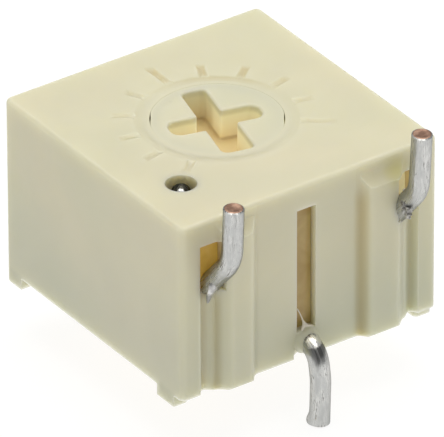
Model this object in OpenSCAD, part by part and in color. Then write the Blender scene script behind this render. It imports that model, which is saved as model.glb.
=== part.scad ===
// Square single-turn cermet trimmer potentiometer with three round wire leads.
// Millimetres. Z = 0 is the plane under the four feet, the Z axis is the rotor's axis,
// and the leads come out of the -Y face.

/* [Body] */
// Width of the moulded body, across the three leads
body_w = 7.0; // [6.6:0.1:8.6]
// Depth of the body, from the lead face to the back face
body_d = 6.97; // [6.7:0.01:8.6]
// Offset of the body from the rotor's axis, along the lead face
body_shift_x = 0.1; // [0:0.01:0.12]
// Offset of the body from the rotor's axis, away from the lead face
body_shift_y = 0.035; // [0:0.005:0.05]
// Height of the body above its feet
body_h = 4.5; // [4.4:0.1:5.6]
// Radius of the four upright corners
corner_r = 0.16; // [0.05:0.01:0.4]
// Mean thickness of the walls round the open underside
wall = 0.65; // [0.55:0.05:0.8]
// Thickness of the top wall round the rotor
top_t = 0.6; // [0.45:0.05:0.75]
// Depth of the potting resin's face inside the underside rim
rim = 0.15; // [0.05:0.05:0.4]

/* [Feet] */
// Height of the feet below the body
foot_h = 0.3; // [0.2:0.05:0.6]
// Width of each foot, along the lead face
foot_w = 0.36; // [0.25:0.01:0.6]
// Length of the two front feet, front to back
front_foot_len = 0.5; // [0.3:0.05:0.9]
// Length of the two back feet, front to back
back_foot_len = 0.74; // [0.3:0.02:1.2]
// Set-back of the front feet from the lead face
front_foot_back = 0.26; // [0.1:0.02:0.5]
// Inset of every foot from the body's sides
foot_inset = 0.03; // [0.01:0.01:0.1]

/* [Lead face] */
// Distance between neighbouring leads
lead_pitch = 2.54; // [2.4:0.01:2.6]
// How far the two ribs stand out of the lead face
rib_proud = 0.24; // [0.12:0.02:0.36]
// Distance of each rib's middle from the body's middle
rib_x = 1.955; // [1.9:0.005:1.96]
// Width of each rib at its crest
rib_w = 0.66; // [0.4:0.02:0.66]
// Width of each rib's sloped inner flank
rib_flank = 0.16; // [0.05:0.01:0.3]
// Distance from the top face to the head of the ribs
rib_drop = 0.36; // [0.2:0.02:0.8]
// Radius of the outer wire grooves
groove_r = 0.32; // [0.3:0.01:0.4]
// Depth of the outer wire grooves below the lead face
groove_depth = 0.17; // [0.1:0.01:0.25]
// Radius of the middle wire groove
mid_groove_r = 0.37; // [0.3:0.01:0.5]
// Depth of the middle wire groove below the lead face
mid_groove_depth = 0.23; // [0.1:0.01:0.3]
// Distance from the top face to the head of the lead windows
window_drop = 0.62; // [0.5:0.02:0.9]
// Depth of the resin's face inside the windows
window_depth = 0.2; // [0.1:0.02:0.3]

/* [Leads] */
// Diameter of the lead wire
wire_d = 0.48; // [0.4:0.01:0.58]
// Height of the middle lead's axis above the body's base
mid_lead_z = 0.42; // [0.4:0.02:0.8]
// Radius of the bends inside the body
inner_bend_r = 0.4; // [0.35:0.01:0.5]

/* [Index hole] */
// Distance of the hole from the rotor's axis, along the lead face
index_x = 2.25; // [2.15:0.01:2.45]
// Distance of the hole from the rotor's axis, towards the lead face
index_y = 1.8; // [1.75:0.01:2.0]
// Radius of the hole
index_r = 0.36; // [0.33:0.01:0.4]
// Depth of lead 1's tip below the top face
index_tip = 0.04; // [0.02:0.02:0.6]

/* [Rotor] */
// Radius of the rotor's head
rotor_r = 1.49; // [1.24:0.01:1.56]
// Radial running clearance of the rotor's head
rotor_gap = 0.05; // [0.03:0.01:0.08]
// Depth of the rotor's face below the top face
rotor_sink = 0.02; // [0:0.01:0.3]
// Thickness of the rotor's flange
flange_t = 0.55; // [0.45:0.05:0.7]
// How far the flange stands out past the rotor's head
flange_lip = 0.63; // [0.55:0.01:0.7]
// Direction of the pointer at rest, from +X towards +Y, in degrees
pointer = 76; // [-45:1:225]
// Half of the rotor's mechanical travel, in degrees
half_travel = 135; // [110:1:145]

/* [Cross slot] */
// Width of the long slot
long_slot_w = 0.76; // [0.5:0.02:0.8]
// Reach of the long slot from the centre
long_slot_reach = 1.4; // [1.0:0.05:1.4]
// Depth of the long slot
long_slot_depth = 0.95; // [0.5:0.05:1.0]
// Width of the short slot
short_slot_w = 0.72; // [0.4:0.02:0.76]
// Reach of the short slot from the centre
short_slot_reach = 1.2; // [0.9:0.02:1.3]
// Depth of the short slot
short_slot_depth = 0.8; // [0.3:0.05:0.95]

/* [Dial] */
// Number of marks round the rotor
tick_count = 11; // [5:2:15]
// Angle between neighbouring marks, in degrees
tick_step = 25.5; // [14:0.5:26]
// Outer radius of the short marks
tick_out = 2.42; // [2.1:0.02:2.48]
// Outer radius of the middle mark and the first mark
long_tick_out = 2.74; // [2.4:0.02:2.76]
// Width of a mark
tick_w = 0.17; // [0.08:0.01:0.2]
// Depth of a mark
tick_depth = 0.05; // [0.04:0.01:0.15]
// Inner radius of the shallow ring that the marks start from
ring_in = 1.64; // [1.62:0.01:1.8]
// Outer radius of the ring
ring_out = 1.88; // [1.85:0.01:2.0]
// Depth of the ring
ring_depth = 0.04; // [0.02:0.01:0.1]

/* [Inner parts] */
// Thickness of the ceramic substrate
substrate_t = 0.63; // [0.5:0.01:0.8]
// Gap between the substrate's edges and the housing
substrate_gap = 0.05; // [0.03:0.01:0.1]
// Gap between the substrate's front edge and the housing
front_gap = 0.15; // [0.1:0.01:0.2]
// Thickness of the printed films
film_t = 0.03; // [0.02:0.005:0.05]
// Mean radius of the resistive track
track_r = 1.75; // [1.65:0.01:1.8]
// Width of the resistive track
track_w = 0.56; // [0.4:0.02:0.6]
// Radius of the collector's contact disc
collector_r = 0.75; // [0.5:0.01:0.8]
// Thickness of the O-ring's section
ring_d = 0.36; // [0.3:0.01:0.42]
// Distance from the rotor's underside to the substrate
wiper_drop = 0.7; // [0.6:0.01:0.8]
// Thickness of the wiper's spring sheet
wiper_t = 0.08; // [0.05:0.01:0.12]
// Clearance between parts that seat in each other
fit = 0.02; // [0.01:0.005:0.04]

/* [Hidden] */

$fn = 64;
cut = 0.2;                                   // overshoot of a cut past a face
bond = 0.01;                                 // gap left for a bonded joint
lap = 0.02;                                  // how far a wire's straight legs enter its bends
neck = 0.003;                                // thinning of a wire in its bends
wire_r = wire_d / 2;

// Heights, from the feet up
base_z = foot_h;
top_z = foot_h + body_h;
rotor_top = top_z - rotor_sink;
ring_top = top_z - top_t;
ceiling_z = ring_top - ring_d - 2 * fit;     // roof of the rotor's chamber
flange_top = ceiling_z - fit;
flange_bottom = flange_top - flange_t;
substrate_top = flange_bottom - wiper_drop;
substrate_bottom = substrate_top - substrate_t;
film_top = substrate_top + film_t;
ledge_z = film_top + fit / 2;                // ledge of the housing over the substrate
window_top = top_z - window_drop;

// Plan sizes
half_w = body_w / 2;
face_y = body_shift_y - body_d / 2;
back_y = body_shift_y + body_d / 2;
pocket_w = body_w - 2 * wall;
pocket_d = body_d - 2 * wall;
pocket_front = face_y + wall;
pocket_back = back_y - wall;
substrate_front = pocket_front + front_gap;
substrate_back = pocket_back - substrate_gap;
bore_r = rotor_r + rotor_gap;
ring_seat_r = rotor_r + fit + ring_d + fit;
flange_r = rotor_r + flange_lip;
lug_r = flange_r + 0.22;                     // tip of the rotor's stop lug
chamber_r = lug_r + 0.04;
lug_half = 10;                               // half of the lug's width, in degrees
stop_play = 0.5;                             // free play at each stop, in degrees
stop_half = 180 - half_travel - lug_half - stop_play;
peg_y = 0.82;                                // the rotor's two heat-formed pegs
peg_r = 0.15;
peg_head_r = 0.24;
peg_head_t = 0.07;
finger_tip_r = 0.06;                         // round contact at a wiper finger's tip
track_in = track_r - track_w / 2;
track_out = track_r + track_w / 2;
track_end = half_travel + 5;                 // half of the track's angle
window_in = lead_pitch - wire_r - fit;
window_out = lead_pitch + wire_r + 3 * fit;
pocket_corner = 0.1;
groove_shift = 0.07;                         // outer grooves' offset from their leads

// Leads
post_set_in = 0.49;                          // middle post's distance from the chamber's wall
film_wire_z = film_top + wire_r;             // axis of a wire that lies on its pad
mid_wire_z = base_z + mid_lead_z;
mid_groove_top = mid_wire_z + 0.12;          // top of the middle groove's dome
mid_post_y = post_set_in - chamber_r;
post_tip = top_z - index_tip;
blind_top = ring_top + 0.1;                  // roof of the blind hole over lead 3
pocket_roof = film_top + wire_d + 0.28;      // roof of the solder pockets
joint_r = wire_r + 0.12;                     // radius of the outer solder joints
pocket_inner = index_x - joint_r - fit;      // side of the solder pockets next to the rotor

// The outer leads cross the wall straight, and are kinked in plan towards their posts
kink_y = pocket_front + 0.1;
kink_run = sqrt(pow(lead_pitch - index_x, 2) + pow(kink_y + index_y, 2));
toe_in = atan2(lead_pitch - index_x, -index_y - kink_y);

// Legs of the leads outside the kink: [length, radius of the bend that follows, its angle]
function outer_legs(rise, slope_len, slope_r, slope_turn, free_len) = [
    [kink_y - pocket_front + wall - 0.5, 0.5, rise],
    [slope_len, slope_r, slope_turn],
    [free_len]
];
lead_1_legs = outer_legs(53.5, 0.95, 1.4, 33, 0.95);
lead_3_legs = outer_legs(56, 1.16, 1.2, 29, 1.08);
mid_tip = film_top + 0.25;
mid_run = mid_post_y - inner_bend_r - face_y;

// ---------------------------------------------------------------- shared shapes

// Rectangle with rounded corners, centred
module round_rect(w, d, r) {
    square([w - 2 * r, d], center = true);
    square([w, d - 2 * r], center = true);
    for (x = [-1, 1], y = [-1, 1])
        translate([x * (w / 2 - r), y * (d / 2 - r)]) circle(r);
}

// Ring sector from one angle to another, with a square section
module sector(inner, outer, from, to, low, high) {
    translate([0, 0, low]) rotate([0, 0, from])
        rotate_extrude(angle = to - from)
            translate([inner, 0]) square([outer - inner, high - low]);
}

// Round wire from the origin along +Z. A leg is [length, radius of the bend that follows,
// its angle]; the bend goes towards +X, or towards -X where the angle is negative.
// The bends are thinner by a hair, as drawn wire is, and start inside the straight legs.
module wire(legs, r, i = 0) {
    leg = legs[i];
    more = i + 1 < len(legs);
    start = i == 0 ? 0 : lap;
    translate([0, 0, -start]) cylinder(h = leg[0] + start + (more ? lap : 0), r = r);
    if (more) {
        turn = abs(leg[2]);
        side = leg[2] < 0 ? 180 : 0;
        translate([0, 0, leg[0]]) rotate([0, 0, side]) {
            translate([leg[1], 0, 0]) rotate([90, 0, 180])
                rotate_extrude(angle = turn) translate([leg[1], 0]) circle(r - neck);
            translate([leg[1] * (1 - cos(turn)), 0, leg[1] * sin(turn)])
                rotate([0, turn, 0]) rotate([0, 0, side]) wire(legs, r, i + 1);
        }
    }
}

// Both sides of the body: mirrors its children across the YZ plane
module both_sides() {
    children();
    mirror([1, 0, 0]) children();
}

// ---------------------------------------------------------------- housing

// Plan of a rib whose crest lies from inner to outer, with its sloped flank on the inner side
module rib_outline(inner, outer) {
    crest = face_y - rib_proud;
    ease = 0.03;                             // chamfer along the crest's two edges
    polygon([
        [outer, face_y + cut], [outer, crest + ease], [outer - ease, crest],
        [inner + ease, crest], [inner - 0.01, crest + ease],
        [inner - rib_flank, face_y], [inner - rib_flank, face_y + cut]
    ]);
}

// One upright rib, sloped off at its head
module rib(middle) {
    head = top_z - rib_drop;
    intersection() {
        translate([0, 0, base_z]) linear_extrude(body_h)
            rib_outline(middle - rib_w / 2, middle + rib_w / 2);
        rotate([90, 0, 90]) linear_extrude(half_w)
            polygon([
                [face_y + 2 * cut, base_z], [face_y - rib_proud, base_z],
                [face_y - rib_proud, head - rib_proud / 2], [face_y, head + rib_proud / 2],
                [face_y + 2 * cut, head + rib_proud / 2]
            ]);
    }
}

// The two ribs; the one by lead 3 laps over its wire and leaves room for it
module ribs() {
    mirror([1, 0, 0]) rib(rib_x - body_shift_x);
    difference() {
        rib(rib_x + body_shift_x);
        outer_lead(lead_3_legs, wire_r + bond, blind_top);
    }
}

module feet() {
    foot_x = half_w - foot_inset - foot_w / 2;
    front_middle = face_y + front_foot_back + front_foot_len / 2;
    back_middle = back_y - foot_inset - back_foot_len / 2;
    translate([body_shift_x, 0, 0]) both_sides() {
        translate([foot_x, front_middle, 0])
            linear_extrude(foot_h + cut) round_rect(foot_w, front_foot_len, 0.1);
        translate([foot_x, back_middle, 0])
            linear_extrude(foot_h + cut) round_rect(foot_w, back_foot_len, 0.1);
    }
}

// Bore, O-ring seat and chamber that hold the rotor, with the block that stops it
module rotor_room() {
    translate([0, 0, ring_top - cut]) cylinder(h = top_t + 2 * cut, r = bore_r);
    translate([0, 0, ceiling_z - cut]) cylinder(h = ring_top - ceiling_z + cut, r = ring_seat_r);
    difference() {
        translate([0, 0, substrate_top - cut])
            cylinder(h = ceiling_z - substrate_top + cut, r = chamber_r);
        sector(flange_r + 0.05, chamber_r + cut, -90 - stop_half, -90 + stop_half,
               flange_bottom, ceiling_z + cut);
    }
}

// Windows, posts and solder pockets of the outer leads
module outer_lead_room() {
    both_sides() {
        translate([window_in, face_y - cut, substrate_top])
            cube([window_out - window_in, wall + cut + fit, window_top - substrate_top]);
        translate([pocket_inner, pocket_front, substrate_top])
            cube([pocket_w / 2 - pocket_inner, -index_y + 0.1 - pocket_front,
                  pocket_roof - substrate_top]);
    }
    translate([-index_x, -index_y, substrate_top]) cylinder(h = top_z, r = index_r);
    translate([index_x, -index_y, substrate_top])
        cylinder(h = blind_top - substrate_top, r = index_r);
}

module mid_lead_room() {
    half = wire_r + fit;
    translate([-half, face_y - cut, mid_wire_z - half])
        cube([2 * half, wall + cut + fit, window_top - mid_wire_z + half]);
}

module wire_grooves() {
    both_sides()
        translate([lead_pitch + groove_shift, face_y - groove_r + groove_depth, -cut])
            cylinder(h = substrate_top + cut + 0.02, r = groove_r);
    // the middle groove has a domed top
    dome_z = mid_groove_top + cut - mid_groove_r;
    translate([0, face_y - mid_groove_r + mid_groove_depth, -cut]) rotate_extrude() {
        square([mid_groove_r, dome_z]);
        intersection() {
            translate([0, dome_z]) circle(mid_groove_r);
            square([mid_groove_r, dome_z + mid_groove_r]);
        }
    }
}

module dial() {
    middle = (tick_count - 1) / 2;
    for (i = [0 : tick_count - 1]) {
        outer = i == 0 || i == middle ? long_tick_out : tick_out;
        inner = ring_out - 0.05;
        rotate([0, 0, 90 + (i - middle) * tick_step])
            translate([inner, -tick_w / 2, top_z - tick_depth])
                cube([outer - inner, tick_w, tick_depth + cut]);
    }
    translate([0, 0, top_z - ring_depth]) difference() {
        cylinder(h = cut, r = ring_out);
        translate([0, 0, -cut]) cylinder(h = 3 * cut, r = ring_in);
    }
}

// The moulded block with its feet, before anything is cut from it
module body_block() {
    translate([body_shift_x, body_shift_y, base_z])
        linear_extrude(body_h) round_rect(body_w, body_d, corner_r);
    feet();
}

module housing() {
    color([0.86, 0.83, 0.71])
    difference() {
        union() {
            difference() {
                body_block();
                outer_lead_room();
                mid_lead_room();
            }
            ribs();
        }
        translate([0, (pocket_front + pocket_back) / 2, base_z - cut])
            linear_extrude(ledge_z - base_z + cut) round_rect(pocket_w, pocket_d, pocket_corner);
        rotor_room();
        wire_grooves();
        dial();
    }
}

// ---------------------------------------------------------------- rotor group

// A slot with round ends, cut down from the rotor's face
module face_slot(w, reach, depth, end_r) {
    translate([0, 0, rotor_top - depth])
        linear_extrude(depth + cut) round_rect(2 * reach, w, end_r);
}

module rotor() {
    color([0.86, 0.83, 0.71])
    rotate([0, 0, pointer])
    difference() {
        union() {
            translate([0, 0, flange_top - cut])
                cylinder(h = rotor_top - flange_top + cut, r = rotor_r);
            translate([0, 0, flange_bottom]) cylinder(h = flange_t, r = flange_r);
            sector(flange_r - 0.2, lug_r, -lug_half, lug_half, flange_bottom, flange_top);
            for (y = [-peg_y, peg_y]) {
                translate([0, y, flange_bottom - wiper_t - fit])
                    cylinder(h = wiper_t + 2 * fit, r = peg_r);
                translate([0, y, flange_bottom - wiper_t - fit - peg_head_t])
                    cylinder(h = peg_head_t, r = peg_head_r);
            }
        }
        face_slot(long_slot_w, long_slot_reach, long_slot_depth, 0.12);
        rotate([0, 0, 90]) face_slot(short_slot_w, short_slot_reach, short_slot_depth, 0.3);
    }
}

module o_ring() {
    color([0.12, 0.11, 0.10])
    translate([0, 0, ring_top - fit - ring_d / 2])
        rotate_extrude() translate([rotor_r + fit + ring_d / 2, 0]) circle(ring_d / 2);
}

// One spring finger that slopes down from the wiper's plate to a rounded contact
module finger(root_x, tip_x, y, w) {
    high = flange_bottom - wiper_t / 2 - fit / 2;
    low = film_top + bond + finger_tip_r;
    run = tip_x - root_x;
    drop = high - low;
    length = sqrt(run * run + drop * drop);
    translate([root_x, y, high]) rotate([0, atan2(drop, run), 0])
        translate([-0.03, -w / 2, -wiper_t / 2]) cube([length + 0.03, w, wiper_t]);
    translate([tip_x, y + w / 2, low]) rotate([90, 0, 0]) cylinder(h = w, r = finger_tip_r);
}

module wiper() {
    plate_bottom = flange_bottom - wiper_t - fit / 2;
    color([0.80, 0.66, 0.38])
    rotate([0, 0, pointer]) {
        difference() {
            translate([0, 0, plate_bottom]) linear_extrude(wiper_t) {
                circle(1.15);
                translate([0.6, -0.42]) square([0.65, 0.84]);
            }
            // window that the inner fingers are bent out of
            translate([-0.62, -0.3, plate_bottom - cut]) cube([1.0, 0.6, 2 * cut + wiper_t]);
            for (y = [-peg_y, peg_y])
                translate([0, y, plate_bottom - cut])
                    cylinder(h = 2 * cut + wiper_t, r = peg_r + fit);
        }
        for (i = [-1.5 : 1 : 1.5]) finger(1.2, track_r, i * 0.21, 0.15);
        for (i = [-1 : 1]) finger(-0.66, 0.1, i * 0.18, 0.13);
    }
}

// ---------------------------------------------------------------- element

module mid_post(r, low, high) {
    translate([0, mid_post_y, low]) cylinder(h = high - low, r = r);
}

module substrate() {
    width = pocket_w - 2 * substrate_gap;
    color([0.93, 0.92, 0.89])
    difference() {
        translate([-width / 2, substrate_front, substrate_bottom])
            cube([width, substrate_back - substrate_front, substrate_t - fit / 2]);
        mid_post(wire_r + fit, substrate_bottom - cut, substrate_top + cut);
    }
}

module film() {
    translate([0, 0, substrate_top - fit / 2]) linear_extrude(film_t + fit / 2) children();
}

module resistive_track() {
    color([0.16, 0.15, 0.15])
    sector(track_in, track_out, 90 - track_end, 90 + track_end,
           substrate_top - fit / 2, film_top);
}

module collector_film() {
    color([0.78, 0.77, 0.74])
    difference() {
        film() {
            circle(collector_r);
            translate([-0.2, mid_post_y]) square([0.4, -mid_post_y]);
            translate([0, mid_post_y]) circle(0.46);
        }
        mid_post(wire_r + fit, substrate_bottom, top_z);
    }
}

// Conductor from an end of the track to the pad under an outer lead
module end_pad() {
    near = -index_y + 0.1;
    front = substrate_front + 0.05;
    side = index_x + 0.45;
    color([0.78, 0.77, 0.74])
    difference() {
        union() {
            sector(track_in, track_out, 90 - track_end - 16, 90 - track_end - 0.5,
                   substrate_top - fit / 2, film_top);
            film() polygon([
                [1.05, -1.62], [1.55, -1.25], [pocket_inner, near],
                [side, near], [side, front], [pocket_inner, front], [1.2, -1.95]
            ]);
        }
        sector(0, 2.2, 90 - track_end - 0.5, 90, substrate_bottom, top_z);
    }
}

module end_pad_3() { end_pad(); }
module end_pad_1() { mirror([1, 0, 0]) end_pad(); }

// ---------------------------------------------------------------- leads

// Upright post of a lead, from its round tip down to an elbow and outwards along -Y
module post(tip, axis_z, legs, r) {
    drop = tip - wire_r - axis_z - inner_bend_r;
    translate([0, 0, tip - wire_r]) {
        sphere(r - neck);
        rotate([180, 0, -90]) wire(concat([[drop, inner_bend_r, 90]], legs), r);
    }
}

// Outer lead on the +X side, r its radius and tip the height of its inner end
module outer_lead(legs, r, tip) {
    translate([index_x, -index_y, 0]) rotate([0, 0, toe_in])
        post(tip, film_wire_z, [[kink_run - inner_bend_r]], r);
    translate([lead_pitch, kink_y, film_wire_z]) {
        sphere(r * 1.03);
        rotate([90, -90, 0]) wire(legs, r);
    }
}

// Middle lead, with its post up through the substrate
module mid_lead(r) {
    translate([0, mid_post_y, 0])
        post(mid_tip, mid_wire_z, [[mid_run, 0.5, -80], [0.25, 1.2, -15], [0.95]], r);
}

module lead_1() {
    color([0.74, 0.74, 0.73]) mirror([1, 0, 0]) outer_lead(lead_1_legs, wire_r, post_tip);
}

module lead_2() {
    color([0.74, 0.74, 0.73]) mid_lead(wire_r);
}

module lead_3() {
    color([0.74, 0.74, 0.73]) outer_lead(lead_3_legs, wire_r, blind_top - 0.1);
}

// Solder that wets an outer lead to its pad
module outer_solder() {
    difference() {
        intersection() {
            translate([index_x, -index_y - joint_r + 0.07, film_wire_z]) sphere(joint_r);
            translate([0, face_y, film_top]) cube([body_w, body_d, 2]);
        }
        outer_lead(lead_3_legs, wire_r + bond, blind_top - 0.1);
    }
}

module solder_3() {
    color([0.70, 0.70, 0.70]) outer_solder();
}

module solder_1() {
    color([0.70, 0.70, 0.70]) mirror([1, 0, 0]) outer_solder();
}

module solder_2() {
    inner = wire_r + bond;
    foot_r = wire_r + 0.18;
    height = 0.17;
    color([0.70, 0.70, 0.70])
    translate([0, mid_post_y, film_top]) rotate_extrude()
        polygon([
            [inner, 0], [foot_r, 0], [foot_r - 0.09, height * 0.3],
            [inner + 0.04, height], [inner, height]
        ]);
}

// ---------------------------------------------------------------- resin

module resin_seal() {
    floor_z = base_z + rim;
    tongue_y = face_y + window_depth;
    mid_half = wire_r + fit;
    color([0.62, 0.46, 0.20, 0.9])
    difference() {
        union() {
            translate([0, (pocket_front + pocket_back) / 2, floor_z])
                linear_extrude(substrate_bottom - floor_z)
                    round_rect(pocket_w, pocket_d, pocket_corner);
            // the narrow gap in front of the substrate
            translate([-pocket_w / 2 + pocket_corner, pocket_front, floor_z])
                cube([pocket_w - 2 * pocket_corner, front_gap - fit, substrate_top - floor_z]);
            // tongues that fill the three windows
            both_sides() {
                translate([window_in, tongue_y, substrate_top])
                    cube([window_out - window_in, pocket_front - tongue_y,
                          window_top - substrate_top]);
                translate([window_in, tongue_y, substrate_top])
                    cube([window_out - window_in, pocket_front + front_gap - fit - tongue_y,
                          film_wire_z - substrate_top]);
            }
            translate([-mid_half, tongue_y, mid_wire_z - mid_half])
                cube([2 * mid_half, pocket_front - tongue_y,
                      window_top - mid_wire_z + mid_half]);
        }
        mid_lead(wire_r + bond);
        both_sides() outer_lead(lead_3_legs, wire_r + bond, blind_top);
    }
}

housing();
rotor();
o_ring();
wiper();
substrate();
resistive_track();
collector_film();
end_pad_1();
end_pad_3();
lead_1();
lead_2();
lead_3();
solder_1();
solder_2();
solder_3();
resin_seal();
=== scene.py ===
"""Square cermet trimmer: the finish of its moulded case, rotor, tinned leads and potting resin.

The CAD frame gives the body's size and place, and the finer sizes are listed below. Shapes are
made in millimetres, in the frame's own axes, and are brought to metres when they are done.
"""
import math

import bmesh
import bpy
from mathutils import Matrix, Vector
from mathutils.noise import noise as noise_at


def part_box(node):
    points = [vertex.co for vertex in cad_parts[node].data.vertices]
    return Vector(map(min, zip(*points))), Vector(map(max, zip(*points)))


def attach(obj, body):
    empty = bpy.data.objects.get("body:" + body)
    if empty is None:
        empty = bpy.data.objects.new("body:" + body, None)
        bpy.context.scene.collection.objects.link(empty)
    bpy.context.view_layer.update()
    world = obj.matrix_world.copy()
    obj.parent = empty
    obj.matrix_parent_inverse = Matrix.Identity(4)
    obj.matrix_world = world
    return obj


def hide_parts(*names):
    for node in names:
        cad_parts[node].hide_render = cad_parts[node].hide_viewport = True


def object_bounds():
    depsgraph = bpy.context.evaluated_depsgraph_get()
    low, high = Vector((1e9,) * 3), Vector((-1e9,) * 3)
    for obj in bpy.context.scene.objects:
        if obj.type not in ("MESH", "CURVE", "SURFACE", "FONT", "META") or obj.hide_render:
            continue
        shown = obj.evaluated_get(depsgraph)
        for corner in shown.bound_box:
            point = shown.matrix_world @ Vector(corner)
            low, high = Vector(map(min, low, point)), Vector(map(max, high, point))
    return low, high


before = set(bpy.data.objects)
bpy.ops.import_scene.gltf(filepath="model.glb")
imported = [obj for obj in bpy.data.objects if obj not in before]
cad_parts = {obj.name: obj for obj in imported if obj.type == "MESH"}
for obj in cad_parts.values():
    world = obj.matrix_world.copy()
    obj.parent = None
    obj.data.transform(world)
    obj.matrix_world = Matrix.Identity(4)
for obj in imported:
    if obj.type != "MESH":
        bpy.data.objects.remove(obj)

MM = 0.001
SCENE = bpy.context.scene
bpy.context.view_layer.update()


# ------------------------ sizes, in millimetres

def node_box(node):
    low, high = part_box(node)
    return low / MM, high / MM


case_low, case_high = node_box("housing")

LEFT_X, RIGHT_X = case_low.x, case_high.x
MIDDLE_X = (LEFT_X + RIGHT_X) / 2
BACK_Y = case_high.y
CREST_Y = case_low.y                  # crest of the two ribs
FACE_Y = CREST_Y + 0.24               # the lead face
TOP_Z = case_high.z
BASE_Z = 0.3                          # underside of the body, over its feet
CORNER_R = 0.16                       # upright corners of the body
OUTER_EDGE_R = 0.1                    # roundness of the body's outer edges
EDGE_R = 0.03                         # roundness of the other moulded edges
RIB_OUTER = 2.275                     # outer edge of the ribs' crests, from the body's middle
RIB_INNER = {-1: 1.69, 1: 1.5}        # their inner edges
RIB_FLANK = 0.16                      # width of the inner side's slope
RIB_EASE = 0.34                       # sweep of the outer side, down into the channel
RIB_HEAD = 4.44                       # middle of the sweep at the ribs' heads

ROTOR_TOP = TOP_Z - 0.003
ROTOR_R = 1.522
BORE_R = 1.525
RING_TOP = 4.2                        # underside of the top wall round the bore
CEILING_Z = 3.8                       # roof of the rotor's chamber
FLANGE_TOP = 3.78
FLANGE_BOTTOM = 3.23
FLANGE_R = 2.12
LUG_R = 2.34
POINTER = 76                          # direction of the long slot, in degrees
SLOT_DEPTH = 0.78
SLOT_ARMS = (                         # two opposite corners of each arm, and the radius of its corners
    ((-1.42, -0.36), (0.2, 0.4), 0.16), ((-0.2, -0.2), (1.33, 0.38), 0.14),
    ((-0.35, -0.2), (0.26, 1.16), 0.24), ((-0.27, -1.05), (0.32, 0.2), 0.24))
RIM_GAP_AT = -111                     # where the rim is worn back, from the pointer, and opposite
RIM_GAP = 0.03                        # how far it is worn back

LEAD_PITCH = 2.54
WIRE_R = 0.24
LEDGE_Z = 2.57                        # ledge of the case over the ceramic
WINDOW_TOP = 4.18
WINDOWS = ((-2.89, -2.28, 2.92), (2.36, 3.085, 3.05))      # left edge, right edge and sill
CHANNEL_EDGE = 2.99                   # outer edge of the channels, from the body's middle
MID_WIRE_Z = 0.72
POST_TIP = 4.76                       # top of lead 1, in the index hole
MID_HALF = 0.26                       # half the width of the middle window
MID_GROOVE_R = 0.37
WALL = 0.65
POCKET_HALF = 3.5 - WALL              # half the width of the pocket for the ceramic
FOOT_WIDTH = 0.42
FEET = (                              # side of the body, near end and far end
    (-1, FACE_Y + 0.33, FACE_Y + 0.98), (1, FACE_Y + 0.25, FACE_Y + 0.75),
    (-1, BACK_Y - 0.6, BACK_Y + 0.5), (1, BACK_Y - 0.6, BACK_Y + 0.5))
INDEX_AT = (-2.25, -1.8)
INDEX_R = 0.36
KINK_Y = FACE_Y + WALL + 0.1          # where the outer leads turn towards their windows
ELBOW_R = 0.4                         # bend of the leads inside the case
BLIND_TIP = 4.2                       # top of lead 3, under the top wall


# ------------------------ mesh helpers

def new_object(name, data):
    obj = bpy.data.objects.new(name, data)
    SCENE.collection.objects.link(obj)
    return obj


def from_bmesh(name, bm):
    mesh = bpy.data.meshes.new(name)
    bm.to_mesh(mesh)
    bm.free()
    return new_object(name, mesh)


def arc(centre, radius, start, end, steps):
    """Points of an arc in plan, from one angle to another in degrees, both ends included."""
    angles = [math.radians(start + (end - start) * i / steps) for i in range(steps + 1)]
    return [(centre[0] + radius * math.cos(a), centre[1] + radius * math.sin(a)) for a in angles]


def round_rect(low, high, radius):
    """Outline of a rectangle with round corners, anticlockwise."""
    corners = [(high[0] - radius, low[1] + radius, -90), (high[0] - radius, high[1] - radius, 0),
               (low[0] + radius, high[1] - radius, 90), (low[0] + radius, low[1] + radius, 180)]
    outline = []
    for x, y, turn in corners:
        outline += arc((x, y), radius, turn, turn + 90, 8)
    return outline


def skinned(name, rings):
    """Closed solid through rings that have the same number of points."""
    bm = bmesh.new()
    rows = [[bm.verts.new(point) for point in ring] for ring in rings]
    bm.faces.new(rows[0][::-1])
    bm.faces.new(rows[-1])
    for row, following in zip(rows, rows[1:]):
        for i in range(len(row)):
            j = (i + 1) % len(row)
            bm.faces.new((row[i], row[j], following[j], following[i]))
    bmesh.ops.recalc_face_normals(bm, faces=bm.faces)
    return from_bmesh(name, bm)


def prism(name, outline, low, high):
    """Closed solid that stands on an outline in plan, between two heights."""
    return skinned(name, [[(x, y, z) for x, y in outline] for z in (low, high)])


def bar_along_x(name, outline, low, high):
    """Closed solid between two places along X, from an outline in Y and Z."""
    return skinned(name, [[(x, y, z) for y, z in outline] for x in (low, high)])


def block(name, low, high):
    outline = [(low[0], low[1]), (high[0], low[1]), (high[0], high[1]), (low[0], high[1])]
    return prism(name, outline, low[2], high[2])


def drum(name, centre, radius, low, high, steps=96):
    return prism(name, arc(centre, radius, 0, 360 - 360 / steps, steps - 1), low, high)


def turned(name, outline, steps=96):
    """Closed solid turned round the Z axis from an outline of radius and height."""
    bm = bmesh.new()
    rings = []
    for i in range(steps):
        angle = 2 * math.pi * i / steps
        rings.append([bm.verts.new((r * math.cos(angle), r * math.sin(angle), z)) for r, z in outline])
    for i in range(steps):
        ring, following = rings[i], rings[(i + 1) % steps]
        for j in range(len(outline)):
            k = (j + 1) % len(outline)
            bm.faces.new((ring[j], following[j], following[k], ring[k]))
    bmesh.ops.remove_doubles(bm, verts=bm.verts, dist=1e-6)
    bmesh.ops.recalc_face_normals(bm, faces=bm.faces)
    return from_bmesh(name, bm)


def settle(obj):
    """Turns an object's modifiers into its mesh."""
    graph = bpy.context.evaluated_depsgraph_get()
    graph.update()
    mesh = bpy.data.meshes.new_from_object(obj.evaluated_get(graph), depsgraph=graph)
    old = obj.data
    obj.modifiers.clear()
    obj.data = mesh
    if old.users == 0:
        bpy.data.meshes.remove(old)
    return obj


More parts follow.
